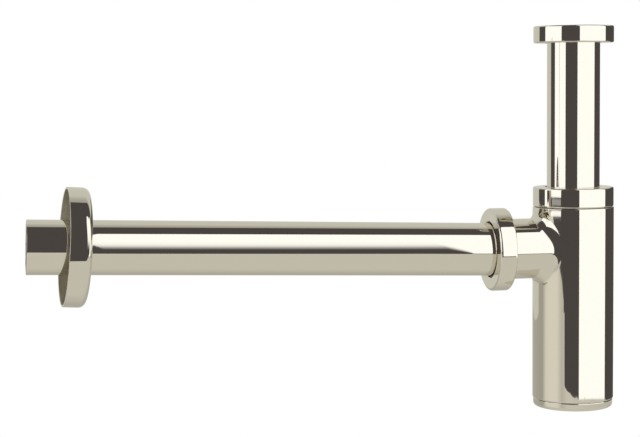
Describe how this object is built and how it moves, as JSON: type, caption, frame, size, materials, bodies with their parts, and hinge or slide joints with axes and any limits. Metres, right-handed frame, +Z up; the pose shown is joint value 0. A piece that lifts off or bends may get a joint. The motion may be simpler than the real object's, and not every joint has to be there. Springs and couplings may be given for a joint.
{
  "type": "bidet trap",
  "caption": "Polished bottle trap with a vertical inlet tube, a screwed bottle and a long wall pipe with a sliding cover flange.",
  "frame": {"origin": "centre of the inlet thread's upper end, 0.8 mm inside the nut's mouth", "axes": "+Z up out of the inlet thread, along the inlet tube; the outlet pipe runs towards -X"},
  "size_m": [0.3561, 0.0699, 0.2329],
  "materials": {
    "nickel": "polished nickel on brass",
    "rubber": "matte",
    "slip_ring": "satin nylon"
  },
  "bodies": {
    "inlet_nut": {"inlet_nut": "nickel"},
    "inlet_washer": {"inlet_washer": "rubber"},
    "inlet_tube": {"inlet_tube": "nickel"},
    "collar_seal": {"collar_seal": "rubber"},
    "bottle": {"bottle_body": "nickel"},
    "collar_slip_ring": {"collar_slip_ring": "slip_ring"},
    "collar_nut": {"collar_nut": "nickel"},
    "base_cap_seal": {"base_cap_seal": "rubber"},
    "base_cap": {"base_cap": "nickel"},
    "outlet_slip_ring": {"outlet_slip_ring": "slip_ring"},
    "outlet_nut": {"outlet_nut": "nickel"},
    "outlet_seal": {"outlet_seal": "rubber"},
    "outlet_pipe": {"outlet_pipe": "nickel"},
    "wall_flange_ring": {"wall_flange_ring": "rubber"},
    "wall_flange": {"wall_flange": "nickel"}
  },
  "joints": [
    {"name": "tube_rise_in_nut", "type": "slide", "parent": "inlet_nut", "child": "inlet_washer", "axis": [0, 0, -1], "range_m": [-0.085, 0]},
    {"name": "tube_turn_in_nut", "type": "hinge", "parent": "inlet_washer", "child": "inlet_tube", "pos_m": [0, 0, 0], "axis": [0, 0, 1], "continuous": true},
    {"name": "bottle_height", "type": "slide", "parent": "inlet_tube", "child": "collar_seal", "axis": [0, 0, 1], "range_m": [-0.05, 0.02]},
    {"name": "bottle_turn", "type": "hinge", "parent": "collar_seal", "child": "bottle", "pos_m": [0, 0, -0.1342], "axis": [0, 0, 1], "continuous": true},
    {"name": "collar_nut_lift", "type": "slide", "parent": "bottle", "child": "collar_slip_ring", "axis": [0, 0, 1], "range_m": [0, 0.00924]},
    {"name": "collar_nut_turn", "type": "hinge", "parent": "collar_slip_ring", "child": "collar_nut", "pos_m": [0, 0, -0.10895], "axis": [0, 0, 1], "range_deg": [0, 1439.9]},
    {"name": "base_cap_drop", "type": "slide", "parent": "bottle", "child": "base_cap_seal", "axis": [0, 0, -1], "range_m": [0, 0.01125]},
    {"name": "base_cap_turn", "type": "hinge", "parent": "base_cap_seal", "child": "base_cap", "pos_m": [0, 0, -0.2271], "axis": [0, 0, -1], "range_deg": [0, 2699.9]},
    {"name": "outlet_nut_travel", "type": "slide", "parent": "bottle", "child": "outlet_slip_ring", "axis": [-1, 0, 0], "range_m": [0, 0.00693]},
    {"name": "outlet_nut_turn", "type": "hinge", "parent": "outlet_slip_ring", "child": "outlet_nut", "pos_m": [-0.043, 0, -0.1342], "axis": [-1, 0, 0], "range_deg": [0, 1079.9]},
    {"name": "outlet_pipe_tip", "type": "hinge", "parent": "bottle", "child": "outlet_seal", "pos_m": [-0.048, 0, -0.1342], "axis": [0, 1, 0], "range_deg": [-3.92, 0.07]},
    {"name": "outlet_pipe_slide", "type": "slide", "parent": "outlet_seal", "child": "outlet_pipe", "axis": [-0.9994, 0, 0.0336], "range_m": [0, 0.015]},
    {"name": "flange_slide", "type": "slide", "parent": "outlet_pipe", "child": "wall_flange_ring", "axis": [-0.9994, 0, 0.0336], "range_m": [-0.236, 0.02]},
    {"name": "flange_turn", "type": "hinge", "parent": "wall_flange_ring", "child": "wall_flange", "pos_m": [-0.29971, 0, -0.12574], "axis": [-0.9963, -0.0499, 0.0695], "continuous": true}
  ],
  "couplings": [
    {"joint": "collar_nut_lift", "follows": "collar_nut_turn", "m_per_rad": 0.00036749},
    {"joint": "base_cap_drop", "follows": "base_cap_turn", "m_per_rad": 0.00023873},
    {"joint": "outlet_nut_travel", "follows": "outlet_nut_turn", "m_per_rad": 0.00036749}
  ]
}
